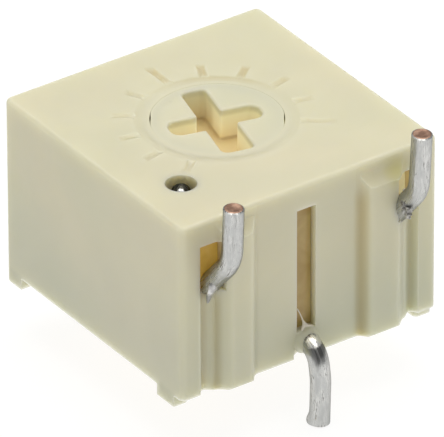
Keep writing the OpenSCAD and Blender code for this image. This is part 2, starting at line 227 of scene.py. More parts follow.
def combine(target, tools, operation):
    """Cuts the tools from the target, or joins them to it, and removes them."""
    for tool in tools:
        modifier = target.modifiers.new("combine", "BOOLEAN")
        modifier.operation = operation
        modifier.solver = "EXACT"
        modifier.object = tool
        settle(target)
        used = tool.data
        bpy.data.objects.remove(tool)
        bpy.data.meshes.remove(used)
    return target


def clean(obj):
    """Merges doubles and takes out the edges that a cut leaves on flat faces."""
    bm = bmesh.new()
    bm.from_mesh(obj.data)
    bmesh.ops.remove_doubles(bm, verts=bm.verts, dist=0.0004)
    bmesh.ops.dissolve_limit(bm, angle_limit=math.radians(0.5), verts=bm.verts, edges=bm.edges)
    bmesh.ops.recalc_face_normals(bm, faces=bm.faces)
    bm.to_mesh(obj.data)
    bm.free()
    return obj


def soften(obj, width, segments=3, angle=26):
    """Rounds every edge sharper than an angle, as a mould does."""
    bevel = obj.modifiers.new("soften", "BEVEL")
    bevel.width = width
    bevel.segments = segments
    bevel.limit_method = "ANGLE"
    bevel.angle_limit = math.radians(angle)
    bevel.use_clamp_overlap = True
    bevel.miter_outer = "MITER_ARC"
    return settle(obj)


def smooth(obj):
    """Smooth shading that keeps the large faces flat."""
    obj.data.shade_smooth()
    obj.data.set_sharp_from_angle(angle=math.radians(40))
    weigh = obj.modifiers.new("weigh", "WEIGHTED_NORMAL")
    weigh.mode = "FACE_AREA"
    weigh.weight = 80
    weigh.keep_sharp = True
    return settle(obj)


def to_metres(obj):
    obj.data.transform(Matrix.Scale(MM, 4))
    obj.data.update()
    return obj


def dress(obj, *materials):
    obj.data.materials.clear()
    for finish in materials:
        obj.data.materials.append(finish)
    return obj


# ------------------------ node helpers

def plug(tree, node, inputs):
    """Sets a node's inputs, by name or by number; a socket given there is linked."""
    for key, value in inputs.items():
        if isinstance(value, bpy.types.NodeSocket):
            tree.links.new(value, node.inputs[key])
        else:
            node.inputs[key].default_value = value


def put(tree, kind, inputs=None, **settings):
    """Adds a node with its settings and its inputs."""
    node = tree.nodes.new(kind)
    for key, value in settings.items():
        setattr(node, key, value)
    plug(tree, node, inputs or {})
    return node


def maths(tree, operation, *values):
    return put(tree, "ShaderNodeMath", dict(enumerate(values)), operation=operation).outputs[0]


def product(tree, first, *others):
    for other in others:
        first = maths(tree, "MULTIPLY", first, other)
    return first


def ramp(tree, factor, low, high, to_low=0.0, to_high=1.0):
    """Smooth step of a value from one range to another."""
    node = put(tree, "ShaderNodeMapRange",
               {"Value": factor, "From Min": low, "From Max": high, "To Min": to_low, "To Max": to_high},
               interpolation_type="SMOOTHSTEP")
    return node.outputs[0]


def mix_colour(tree, factor, first, second, blend="MIX"):
    return put(tree, "ShaderNodeMix", {0: factor, 6: first, 7: second},
               data_type="RGBA", blend_type=blend).outputs[2]


def noise(tree, vector, scale, detail=2.0, rough=0.5, distortion=0.0):
    node = put(tree, "ShaderNodeTexNoise",
               {"Vector": vector, "Scale": scale, "Detail": detail, "Roughness": rough,
                "Distortion": distortion})
    return node.outputs["Fac"]


def shader_group(name, inputs, outputs):
    """Shader node group with named sockets; returns it with its inputs and its output node."""
    group = bpy.data.node_groups.new(name, "ShaderNodeTree")
    for label, kind, value in inputs:
        socket = group.interface.new_socket(name=label, in_out="INPUT", socket_type=kind)
        socket.default_value = value
    for label in outputs:
        group.interface.new_socket(name=label, in_out="OUTPUT", socket_type=FLOAT)
    return group, group.nodes.new("NodeGroupInput").outputs, group.nodes.new("NodeGroupOutput")


FLOAT = "NodeSocketFloat"
VECTOR = "NodeSocketVector"


def build_moulded_grain():
    """Satin skin of moulded plastic: fine grain, slow waviness, mottled tone and a few specks."""
    group, given, out = shader_group(
        "moulded_grain",
        [("Vector", VECTOR, (0, 0, 0)), ("Grain Size", FLOAT, 9000.0), ("Speck Amount", FLOAT, 0.3)],
        ["Height", "Mottle", "Tint", "Specks"])
    place = given["Vector"]
    fine = noise(group, place, given["Grain Size"], 4.0, 0.6)
    wave = noise(group, place, 900.0, 2.0, 0.5)
    cells = put(group, "ShaderNodeTexVoronoi", {"Vector": place, "Scale": 2600.0, "Randomness": 1.0})
    dot = ramp(group, cells.outputs["Distance"], 0.10, 0.16, 1.0, 0.0)
    rare = ramp(group, noise(group, place, 700.0, 1.0), 0.66, 0.72)
    plug(group, out, {
        "Height": maths(group, "ADD", product(group, fine, 0.35), wave),
        "Mottle": ramp(group, noise(group, place, 420.0, 3.0, 0.55, 0.6), 0.3, 0.7),
        "Tint": ramp(group, noise(group, place, 170.0, 2.0, 0.5, 0.4), 0.3, 0.7),
        "Specks": product(group, dot, rare, given["Speck Amount"])})
    return group


def build_draw_lines():
    """Lines and scratches that run along a drawn wire, with patches where the tin lies thicker."""
    group, given, out = shader_group(
        "draw_lines",
        [("Along", FLOAT, 0.0), ("Around", VECTOR, (0, 0, 0)), ("Seed", FLOAT, 0.0)],
        ["Height", "Lines", "Patches", "Scratches"])
    along = maths(group, "ADD", given["Along"], given["Seed"])

    def stretched(around_scale, along_scale):
        """Noise place that is long in the wire's direction."""
        scaled = put(group, "ShaderNodeVectorMath",
                     {0: given["Around"], 1: (around_scale,) * 3}, operation="MULTIPLY")
        lengthwise = put(group, "ShaderNodeCombineXYZ", {"Z": product(group, along, along_scale)})
        return put(group, "ShaderNodeVectorMath", {0: scaled.outputs[0], 1: lengthwise.outputs[0]},
                   operation="ADD").outputs[0]

    lines = noise(group, stretched(3.2, 0.5), 1.3, 3.0, 0.6)
    deep = noise(group, stretched(3.6, 0.7), 2.0, 2.0, 0.5, 0.5)
    patches = noise(group, stretched(1.1, 1.6), 1.1, 3.0, 0.6, 0.3)
    scratch = ramp(group, maths(group, "ABSOLUTE", maths(group, "SUBTRACT", deep, 0.5)), 0.0, 0.02, 1.0, 0.0)
    scratches = product(group, scratch, ramp(group, patches, 0.46, 0.6))
    raised = maths(group, "ADD", product(group, lines, 0.3), patches)
    plug(group, out, {
        "Height": maths(group, "SUBTRACT", raised, product(group, scratches, 0.5)),
        "Lines": lines, "Patches": ramp(group, patches, 0.36, 0.66), "Scratches": scratches})
    return group


MOULDED_GRAIN = build_moulded_grain()
DRAW_LINES = build_draw_lines()


def material(name, roughness, metallic=0.0):
    """Principled material; returns it with its tree, its shader and the object's own coordinates."""
    made = bpy.data.materials.new(name)
    made.use_nodes = True
    tree = made.node_tree
    shader = tree.nodes["Principled BSDF"]
    plug(tree, shader, {"Roughness": roughness, "Metallic": metallic, "IOR": 1.5})
    return made, tree, shader, put(tree, "ShaderNodeTexCoord").outputs["Object"]


def bump(tree, shader, height, distance, strength):
    """Relief on a shader; the distance is in millimetres."""
    node = put(tree, "ShaderNodeBump", {"Strength": strength, "Distance": distance * MM, "Height": height})
    tree.links.new(node.outputs[0], shader.inputs["Normal"])


def grain_in(tree, place):
    return put(tree, "ShaderNodeGroup", {"Vector": place, "Grain Size": 9000.0, "Speck Amount": 0.1},
               node_tree=MOULDED_GRAIN).outputs


def lines_in(tree, seed):
    """Draw lines, laid out by the places that a wire's mesh carries."""
    along = put(tree, "ShaderNodeAttribute", attribute_name="along").outputs["Fac"]
    around = put(tree, "ShaderNodeAttribute", attribute_name="around").outputs["Vector"]
    return put(tree, "ShaderNodeGroup", {"Along": along, "Around": around, "Seed": seed},
               node_tree=DRAW_LINES).outputs


def separate(tree, place):
    return put(tree, "ShaderNodeSeparateXYZ", {"Vector": place}).outputs


def between(tree, value, low, high, to_low=0.0, to_high=1.0):
    """Ramp of a distance in the tree's metres, with its range in millimetres."""
    return ramp(tree, value, low * MM, high * MM, to_low, to_high)


def off_from(tree, value, middle):
    """How far a value lies from a middle one."""
    return maths(tree, "ABSOLUTE", maths(tree, "SUBTRACT", value, middle))


def distance_from(tree, place, spot):
    """Distance of a place from a spot that is given in millimetres."""
    return put(tree, "ShaderNodeVectorMath", {0: place, 1: [v * MM for v in spot]},
               operation="DISTANCE").outputs["Value"]


def along_line(tree, place, direction):
    """How far a place lies along a direction, in millimetres."""
    return put(tree, "ShaderNodeVectorMath", {0: place, 1: [v / MM for v in direction]},
               operation="DOT_PRODUCT").outputs["Value"]


def from_axis(tree, place):
    """Distance from the rotor's axis, in millimetres."""
    x, y = separate(tree, place)[:2]
    squares = maths(tree, "ADD", product(tree, x, x), product(tree, y, y))
    return product(tree, maths(tree, "SQRT", squares), 1 / MM)


# ------------------------ finishes

SKIN = 0.2                            # thickness of the outer skin, over which the painted shade of the hollows fades in
CORNER_SHADES = (                     # middle, half width, top and tint of the dark corners by the ribs
    (1.46, 0.2, 4.4, (0.86, 0.79, 0.62, 1)),
    (-2.47, 0.16, 3.1, (0.82, 0.78, 0.66, 1)),
    (2.95, 0.16, 3.4, (0.90, 0.92, 0.85, 1)))
STAIN_AT = (2.4, FACE_Y, 4.3)         # yellow stain over the right window
LIT_WALL_AT = (3.08, FACE_Y + 0.35, 3.7)      # painted glow, standing in for light that comes through the right window's side wall
SHINE_AT = (INDEX_AT[0] - 0.11, INDEX_AT[1] - 0.14, POST_TIP - 0.09)      # painted glint on lead 1's tip


def inside_the_walls(tree, place):
    """Mask of the case's inner surfaces, behind its outer skin, for their painted shade and glow."""
    x, y, z = separate(tree, place)
    half = RIGHT_X - MIDDLE_X
    edges = ((y, FACE_Y + 0.04, FACE_Y + 0.4), (y, BACK_Y, BACK_Y - SKIN),
             (off_from(tree, x, MIDDLE_X * MM), half, half - SKIN), (z, 4.5, 4.5 - SKIN), (z, 0.35, 0.5))
    return product(tree, *(between(tree, value, outer, inner) for value, outer, inner in edges))


def slot_depth_shade(tree, place):
    """Mask that grows with the depth below the rotor's face, for the painted shade and glow down the slot."""
    return between(tree, separate(tree, place)[2], ROTOR_TOP - 0.03, ROTOR_TOP - 0.9)


def sunken_dial_tone(tree, place):
    """Mask of the dial's sunken ring and marks, stronger at its far side from the leads."""
    z, away = separate(tree, place)[2], from_axis(tree, place)
    far = along_line(tree, place, (0.57, 0.82, 0))
    strength = maths(tree, "ADD", ramp(tree, far, 1.2, 2.2, 0.0, 0.55),
                     ramp(tree, away, 1.95, 2.05, 0.0, 0.15))
    return product(tree, between(tree, z, TOP_Z - 0.004, TOP_Z - 0.035),
                   between(tree, z, TOP_Z - 0.2, TOP_Z - 0.1),
                   ramp(tree, away, 1.62, 1.7), ramp(tree, away, 2.9, 2.8), strength)


def corner_shade(tree, place, colour):
    """Darkens a colour in the corners beside the ribs of the lead face."""
    x, y, z = separate(tree, place)
    front = between(tree, y, FACE_Y + 0.22, FACE_Y + 0.16)
    for middle, half, top, tint in CORNER_SHADES:
        mask = product(tree, between(tree, off_from(tree, x, middle * MM), half, 0.0), front,
                       between(tree, z, top, top - 0.6))
        colour = mix_colour(tree, mask, colour, tint, "MULTIPLY")
    stain = between(tree, distance_from(tree, place, STAIN_AT), 0.5, 0.1)
    return mix_colour(tree, stain, colour, (0.93, 0.91, 0.66, 1), "MULTIPLY")


def cream_plastic(name, tone, shade, hollows, painted_hollow_shade, glow=0.0):
    """Cream moulding that lets light in; a mask marks its hollows, which take a painted darker, warmer shade
    and a painted glow.
    """
    made, tree, shader, place = material(name, 0.46)
    grain = grain_in(tree, place)
    y, z = separate(tree, place)[1:3]
    hollow = hollows(tree, place)
    colour = mix_colour(tree, grain["Mottle"], tone, shade)
    # Random tint; painted shade that darkens and cools the tone towards the base; a slightly darker grey at the
    # bottom edge and on the feet.
    for mask, tint in ((grain["Tint"], (0.97, 1.0, 0.985, 1)),
                       (between(tree, z, 3.4, 0.6), (0.89, 0.915, 0.955, 1)),
                       (between(tree, z, 0.46, 0.28), (0.92, 0.93, 0.94, 1))):
        colour = mix_colour(tree, mask, colour, tint, "MULTIPLY")
    # Darker, browner tone in the dial's sunken ring and marks, stronger on its far side.
    colour = mix_colour(tree, sunken_dial_tone(tree, place), colour, (0.66, 0.57, 0.32, 1))
    # Painted shade: the corners by the ribs darken, and the hollows take a darker, warmer tone.
    colour = mix_colour(tree, hollow, corner_shade(tree, place, colour), painted_hollow_shade)
    # Painted glow, standing in for light passed through the plastic: low in the rotor's slot, and on the case's
    # inner wall by the right window.
    if glow:
        floor_z = ROTOR_TOP - SLOT_DEPTH
        lit = product(tree, ramp(tree, hollow, 0.0, 0.12, 0.0, glow), ramp(tree, hollow, 0.4, 1.0, 1.0, 0.75),
                      between(tree, z, floor_z + 0.01, floor_z + 0.08), between(tree, y, 0.9, 0.6, 0.45, 1.0))
    else:
        lit = product(tree, ramp(tree, hollow, 0.0, 0.5, 0.0, 0.09),
                      between(tree, distance_from(tree, place, LIT_WALL_AT), 0.75, 0.4))
    plug(tree, shader, {
        "Base Color": mix_colour(tree, grain["Specks"], colour, (0.30, 0.25, 0.15, 1)),
        "Roughness": ramp(tree, grain["Height"], 0.5, 1.0, 0.42, 0.56),
        "Emission Color": (1.0, 0.95, 0.60, 1), "Emission Strength": lit,
        "Subsurface Weight": ramp(tree, off_from(tree, from_axis(tree, place), BORE_R), 0.04, 0.16),
        "Subsurface Radius": (1.0, 0.96, 0.84), "Subsurface Scale": 0.5 * MM})
    bump(tree, shader, grain["Height"], 0.006, 0.5)
    return made


def resin():
    """Amber resin, clouded; in the two outer windows it is painted brighter and more golden, with a painted
    glow, and in the right one paler.
    """
    made, tree, shader, place = material("potting_resin", 0.34)
    x = separate(tree, place)[0]
    outward = between(tree, maths(tree, "ABSOLUTE", x), 1.0, 2.0)
    right = between(tree, x, 1.0, 2.0)
    cloud = ramp(tree, noise(tree, place, 900.0, 3.0, 0.6, 0.5), 0.3, 0.7)
    cloudy = mix_colour(tree, cloud, (0.42, 0.28, 0.075, 1), (0.54, 0.39, 0.14, 1))
    # Painted light: the outer windows' resin is painted brighter and more golden, and glows.
    clear = mix_colour(tree, cloud, (0.62, 0.40, 0.07, 1), (0.74, 0.52, 0.13, 1))
    colour = mix_colour(tree, outward, cloudy, clear)
    plug(tree, shader, {
        "Base Color": mix_colour(tree, right, colour, (0.78, 0.68, 0.33, 1)),
        "Emission Color": mix_colour(tree, right, (0.80, 0.48, 0.08, 1), (0.80, 0.68, 0.30, 1)),
        "Emission Strength": ramp(tree, outward, 0.0, 1.0, 0.0, 0.16),
        "Subsurface Weight": 0.5, "Subsurface Radius": (1.0, 0.6, 0.25), "Subsurface Scale": 0.3 * MM,
        "Coat Weight": 0.25, "Coat Roughness": 0.2})
    bump(tree, shader, noise(tree, place, 1500.0, 2.0, 0.5), 0.02, 0.5)
    return made


def painted_bend_reflections(tree, place, colour, lines):
    """Painted reflections on lead 2's bend: a bright painted highlight patch, and below it a dark tapering
    streak, with draw lines, that paints the reflection of the case's shaded underside.
    """
    across = along_line(tree, place, (0.82, -0.574, 0))
    up = along_line(tree, place, (0.302, 0.431, 0.85))
    rough = product(tree, maths(tree, "SUBTRACT", noise(tree, place, 9000.0, 3.0, 0.6), 0.5), 0.16)
    half_width = product(tree, maths(tree, "ADD", up, 1.63), 0.47)
    off = maths(tree, "ADD", off_from(tree, across, 2.23), product(tree, rough, 0.5))
    streak = ramp(tree, maths(tree, "SUBTRACT", half_width, off), -0.02, 0.10, 0.0, 0.9)
    lined = mix_colour(tree, ramp(tree, lines, 0.42, 0.6), (0.14, 0.14, 0.135, 1), (0.33, 0.33, 0.32, 1))
    colour = mix_colour(tree, streak, colour, lined)
    spot = put(tree, "ShaderNodeCombineXYZ", {0: maths(tree, "SUBTRACT", across, 2.144),
                                              1: maths(tree, "ADD", up, 0.925)}).outputs[0]
    away = put(tree, "ShaderNodeVectorMath", {0: spot}, operation="LENGTH").outputs["Value"]
    patch = ramp(tree, maths(tree, "ADD", away, rough), 0.19, 0.14)
    return mix_colour(tree, patch, colour, (0.97, 0.96, 0.92, 1))


def tinned(lead, seed):
    """Tinned wire with draw lines, painted darker towards its edges; lead 1's tip in the index hole is painted
    dark for the shaded hole it reflects, with one painted glint.
    """
    made, tree, shader, place = material("tin_" + lead, 0.3, 1.0)
    lines = lines_in(tree, seed)
    colour = mix_colour(tree, lines["Patches"], (0.48, 0.485, 0.475, 1), (0.66, 0.66, 0.64, 1))
    colour = mix_colour(tree, lines["Scratches"], colour, (0.16, 0.155, 0.15, 1))
    # Painted reflection: the wire is darker where its surface turns away from the view, along its edges.
    facing = put(tree, "ShaderNodeLayerWeight", {"Blend": 0.35}).outputs["Facing"]
    colour = mix_colour(tree, ramp(tree, facing, 0.55, 0.95, 0.0, 0.7), colour, (0.24, 0.24, 0.235, 1))
    if lead == "lead_2":
        colour = painted_bend_reflections(tree, place, colour, lines["Lines"])
    if lead == "lead_1":
        y, z = separate(tree, place)[1:3]
        # Painted reflection: the tip in the index hole is dark for the shaded hole it mirrors, and a painted
        # glint sits on it.
        dark = product(tree, between(tree, z, POST_TIP - 0.5, POST_TIP - 0.3),
                     between(tree, y, INDEX_AT[1] - 0.5, INDEX_AT[1] - 0.4))
        colour = mix_colour(tree, dark, colour, (0.07, 0.068, 0.055, 1))
        shine = between(tree, distance_from(tree, place, SHINE_AT), 0.06, 0.10, 1.0, 0.0)
        colour = mix_colour(tree, shine, colour, (0.95, 0.95, 0.92, 1))
    plug(tree, shader, {"Base Color": colour, "Specular Tint": (0.55, 0.55, 0.54, 1),
                        "Roughness": ramp(tree, lines["Lines"], 0.3, 0.75, 0.2, 0.42)})
    bump(tree, shader, lines["Height"], 0.02, 0.8)
    return made


def cut_copper():
    made, tree, shader, place = material("cut_copper", 0.5, 0.85)
    patch = noise(tree, place, 5200.0, 3.0, 0.6)
    colour = mix_colour(tree, ramp(tree, patch, 0.35, 0.65), (0.23, 0.135, 0.095, 1), (0.47, 0.30, 0.22, 1))
    tree.links.new(colour, shader.inputs["Base Color"])
    bump(tree, shader, patch, 0.01, 0.7)
    return made


def solder_metal():
    made, tree, shader, place = material("solder_metal", 0.32, 1.0)
    patch = noise(tree, place, 4200.0, 4.0, 0.65)
    colour = mix_colour(tree, ramp(tree, patch, 0.35, 0.7), (0.36, 0.355, 0.345, 1), (0.76, 0.755, 0.735, 1))
    plug(tree, shader, {"Base Color": colour, "Roughness": ramp(tree, patch, 0.3, 0.7, 0.45, 0.22)})
    bump(tree, shader, patch, 0.02, 0.8)
    return made


def plain_finish(name, first, second, scale, roughness, metallic=0.0, relief=0.004):
    """Finish in two tones of one noise, with a little relief."""
    made, tree, shader, place = material(name, roughness, metallic)
    patch = noise(tree, place, scale, 4.0, 0.6)
    colour = mix_colour(tree, ramp(tree, patch, 0.3, 0.7), (*first, 1), (*second, 1))
    tree.links.new(colour, shader.inputs["Base Color"])
    bump(tree, shader, patch, relief, 0.6)
    return made


# Both plastics paint a darker, warmer shade into their hollows; the rotor's also paints a glow low in its slot.
CASE_PLASTIC = cream_plastic("cream_case", (0.76, 0.715, 0.52, 1), (0.73, 0.69, 0.51, 1),
                             inside_the_walls, (0.72, 0.60, 0.32, 1))
ROTOR_PLASTIC = cream_plastic("cream_rotor", (0.75, 0.715, 0.53, 1), (0.72, 0.69, 0.52, 1),
                              slot_depth_shade, (0.68, 0.53, 0.26, 1), 0.24)
RESIN = resin()
COPPER = cut_copper()
SOLDER = solder_metal()
FLUX = plain_finish("flux", (0.16, 0.15, 0.14), (0.72, 0.71, 0.67), 9000, 0.4, 0.5, 0.02)
FLASH = plain_finish("flash", (0.60, 0.54, 0.42), (0.70, 0.65, 0.53), 4000, 0.4)
TIN = {lead: tinned(lead, seed) for lead, seed in (("lead_1", 0.0), ("lead_2", 7.3), ("lead_3", 15.1))}
SILVER = plain_finish("silver_film", (0.52, 0.51, 0.48), (0.66, 0.65, 0.62), 8000, 0.42, 0.9)
INNER_FINISHES = {
    "o_ring": plain_finish("ring_rubber", (0.012, 0.011, 0.010), (0.03, 0.028, 0.026), 5000, 0.6),
    "wiper": plain_finish("spring_alloy", (0.62, 0.45, 0.18), (0.75, 0.58, 0.30), 3000, 0.3, 1.0),
    "substrate": plain_finish("alumina", (0.84, 0.83, 0.79), (0.92, 0.91, 0.88), 7000, 0.55),
    "resistive_track": plain_finish("cermet_film", (0.018, 0.017, 0.017), (0.05, 0.047, 0.045), 8000, 0.5),
    "collector_film": SILVER, "end_pad_1": SILVER, "end_pad_3": SILVER,
    "solder_1": SOLDER, "solder_2": SOLDER, "solder_3": SOLDER, "resin_seal": RESIN,
}
for node_name, finish in INNER_FINISHES.items():
    dress(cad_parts[node_name], finish)


# ------------------------ geometry node trees

def grow(name, tree, settings, source=None):
    """Plain mesh object from a geometry tree, with its inputs set by name."""
    host = new_object(name, source or bpy.data.meshes.new(name))
    modifier = host.modifiers.new("grow", "NODES")
    modifier.node_group = tree
    for item in tree.interface.items_tree:
        if item.in_out == "INPUT" and item.name in settings:
            modifier[item.identifier] = settings[item.name]
    settle(host)
    return host


def geometry_tree(name, inputs):
    tree = bpy.data.node_groups.new(name, "GeometryNodeTree")
    tree.interface.new_socket(name="Geometry", in_out="INPUT", socket_type="NodeSocketGeometry")
    for label, kind, value in inputs:
        socket = tree.interface.new_socket(name=label, in_out="INPUT", socket_type=kind)
        if value is not None:
            socket.default_value = value
    tree.interface.new_socket(name="Geometry", in_out="OUTPUT", socket_type="NodeSocketGeometry")
    return tree, tree.nodes.new("NodeGroupInput").outputs, tree.nodes.new("NodeGroupOutput")


def end_tree(tree, out, geometry, finish):
    real = put(tree, "GeometryNodeRealizeInstances", {"Geometry": geometry})
    done = put(tree, "GeometryNodeSetMaterial", {"Geometry": real.outputs[0], "Material": finish})
    tree.links.new(done.outputs[0], out.inputs[0])


def build_wire_tree():
    """Round wire along a line of points; each point's share of the radius is in "thick"."""
    tree, given, out = geometry_tree("round_wire", [
        ("Radius", FLOAT, WIRE_R), ("Sides", "NodeSocketInt", 40), ("Dent", FLOAT, 0.01),
        ("Dent Size", FLOAT, 2.0), ("Seed", FLOAT, 0.0), ("Finish", "NodeSocketMaterial", None)])
    curve = put(tree, "GeometryNodeMeshToCurve", {"Mesh": given["Geometry"]})
    thick = put(tree, "GeometryNodeInputNamedAttribute", {"Name": "thick"}, data_type="FLOAT")
    along = put(tree, "GeometryNodeStoreNamedAttribute",
                {"Geometry": curve.outputs[0], "Name": "along",
                 "Value": put(tree, "GeometryNodeSplineParameter").outputs["Length"]},
                data_type="FLOAT", domain="POINT")
    ring = put(tree, "GeometryNodeCurvePrimitiveCircle",
               {"Resolution": given["Sides"], "Radius": given["Radius"]})
    spread = put(tree, "ShaderNodeVectorMath",
                 {0: put(tree, "GeometryNodeInputPosition").outputs[0], "Scale": 1 / WIRE_R}, operation="SCALE")
    around = put(tree, "GeometryNodeStoreNamedAttribute",
                 {"Geometry": ring.outputs[0], "Name": "around", "Value": spread.outputs[0]},
                 data_type="FLOAT_VECTOR", domain="POINT")
    tube = put(tree, "GeometryNodeCurveToMesh",
               {"Curve": along.outputs[0], "Profile Curve": around.outputs[0], "Scale": thick.outputs[0],
                "Fill Caps": True})
    dents = put(tree, "ShaderNodeTexNoise",
                {"W": given["Seed"], "Scale": given["Dent Size"], "Detail": 2.0},
                noise_dimensions="4D")
    centred = product(tree, maths(tree, "SUBTRACT", dents.outputs[0], 0.5), given["Dent"])
    push = put(tree, "ShaderNodeVectorMath",
               {0: put(tree, "GeometryNodeInputNormal").outputs[0], "Scale": centred}, operation="SCALE")
    dented = put(tree, "GeometryNodeSetPosition", {"Geometry": tube.outputs[0], "Offset": push.outputs[0]})
    rounded = put(tree, "GeometryNodeSetShadeSmooth", {"Geometry": dented.outputs[0], "Shade Smooth": True})
    end_tree(tree, out, rounded.outputs[0], given["Finish"])
    return tree


def build_dial_tree():
    """Marks set out fan-wise round the rotor's axis; the first one and the middle one are long.

    Each is a four-sided cone without its tip, so the mark cut with it has sloped sides.
    """
    tree, given, out = geometry_tree("dial_marks", [
        ("Marks", "NodeSocketInt", 11), ("Step", FLOAT, math.radians(25.5)), ("Inner Radius", FLOAT, 1.80),
        ("Short Length", FLOAT, 0.63), ("Long Length", FLOAT, 0.95), ("Width", FLOAT, 0.25),
        ("Depth", FLOAT, 0.045), ("Level", FLOAT, TOP_Z), ("Finish", "NodeSocketMaterial", None)])
    index = put(tree, "GeometryNodeInputIndex").outputs[0]
    last = maths(tree, "SUBTRACT", given["Marks"], 1.0)
    from_middle = maths(tree, "SUBTRACT", index, maths(tree, "DIVIDE", last, 2.0))
    angle = maths(tree, "ADD", product(tree, from_middle, given["Step"]), math.pi / 2)
    is_long = maths(tree, "MAXIMUM", maths(tree, "COMPARE", from_middle, 0.0, 0.1),
                    maths(tree, "COMPARE", index, 0.0, 0.1))
    extra = maths(tree, "SUBTRACT", given["Long Length"], given["Short Length"])
    length = maths(tree, "ADD", given["Short Length"], product(tree, is_long, extra))
    reach = maths(tree, "ADD", given["Inner Radius"], product(tree, length, 0.5))
    place = put(tree, "ShaderNodeCombineXYZ",
                {"X": product(tree, reach, maths(tree, "COSINE", angle)),
                 "Y": product(tree, reach, maths(tree, "SINE", angle)),
                 "Z": maths(tree, "SUBTRACT", given["Level"], given["Depth"])})
    points = put(tree, "GeometryNodePoints",
                 {"Count": given["Marks"], "Position": place.outputs[0]})
    cone = put(tree, "GeometryNodeMeshCone",
               {"Vertices": 4, "Radius Top": math.sqrt(0.5) * 1.65, "Radius Bottom": math.sqrt(0.5) * 0.35,
                "Depth": 2.0})
    squared = put(tree, "GeometryNodeTransform",
                  {"Geometry": cone.outputs[0], "Rotation": (0.0, 0.0, math.pi / 4)})
    turn = put(tree, "ShaderNodeCombineXYZ", {"Z": angle})
    size = put(tree, "ShaderNodeCombineXYZ",
               {"X": length, "Y": given["Width"], "Z": given["Depth"]})
    copies = put(tree, "GeometryNodeInstanceOnPoints",
                 {"Points": points.outputs[0], "Instance": squared.outputs[0],
                  "Rotation": turn.outputs[0], "Scale": size.outputs[0]})
    end_tree(tree, out, copies.outputs[0], given["Finish"])
    return tree


WIRE_TREE = build_wire_tree()
DIAL_TREE = build_dial_tree()


# ------------------------ case

def eased(points, radius):
    """Line through points with its inner corners rounded."""
    line = [points[0]]
    for before, corner, after in zip(points, points[1:], points[2:]):
        corner = Vector(corner)
        start = corner + (Vector(before) - corner).normalized() * radius
        stop = corner + (Vector(after) - corner).normalized() * radius
        line += [tuple(start.lerp(corner, i / 5).lerp(corner.lerp(stop, i / 5), i / 5)) for i in range(6)]
    return line + [points[-1]]


def mirrored(side, outline):
    """Outline given from the body's middle, on its right (1) or its left (-1), anticlockwise."""
    plan = [(MIDDLE_X + side * x, y) for x, y in outline]
    return plan if side > 0 else plan[::-1]


def rib(side):
    """Upright rib on the lead face: soft inner flank and head, and an outer side that sweeps away."""
    proud = FACE_Y - CREST_Y
    inner, crest_end = RIB_INNER[side], RIB_OUTER - 0.05
    root, root_y, inside = inner - RIB_FLANK, FACE_Y + 0.004, FACE_Y + 0.2
    flank = eased([(root - 0.2, root_y), (root, root_y), (inner, CREST_Y), (crest_end, CREST_Y)], 0.13)
    sweep = [(crest_end + (RIB_EASE + 0.05) * i / 12, FACE_Y - proud * (1 + math.cos(math.pi * i / 12)) / 2)
             for i in range(13)]
    outline = [(root - 0.2, inside)] + flank[:-1] + sweep + [(RIB_OUTER + RIB_EASE, inside)]
    solid = prism("rib", mirrored(side, outline), BASE_Z, TOP_Z)
    head = [(FACE_Y - proud * (1 - i / 10) ** 2, RIB_HEAD - 0.22 + 0.5 * i / 10) for i in range(11)]
    profile = eased([(inside + 0.1, BASE_Z), (CREST_Y, BASE_Z), (CREST_Y, RIB_HEAD - 0.4)], 0.09)
    profile += head + [(inside + 0.1, head[-1][1])]
    combine(solid, [bar_along_x("rib_side", profile, -4, 4)], "INTERSECT")
    return clean(solid)


def foot_post(side, near, far):
    """Post whose inner sides are a foot's; its outer sides lie outside the case."""
    half = RIGHT_X - MIDDLE_X
    low, high = sorted((MIDDLE_X + side * (half + 0.3), MIDDLE_X + side * (half - FOOT_WIDTH)))
    return prism("foot_post", round_rect((low, near), (high, far), 0.12), 0, TOP_Z)


def channel(side):
    """Tool for the shallow channel under an outer window, deeper towards its outer edge."""
    start, depth, count = RIB_OUTER + RIB_EASE - 0.04, 0.15, 16
    dip = [(start + (CHANNEL_EDGE - start) * t, FACE_Y + depth * math.sin(math.pi * t ** 1.5) ** 1.2)
           for t in [i / count for i in range(count + 1)]]
    outline = [(start, FACE_Y - 0.3), (CHANNEL_EDGE, FACE_Y - 0.3)] + dip[::-1]
    return prism("channel", mirrored(side, outline), 0.1, 3.25)


def window(left, right, low):
    """Opening in the lead face that a wire leaves by."""
    return block("window", (left, FACE_Y - 0.4, low), (right, FACE_Y + WALL + 0.02, WINDOW_TOP))


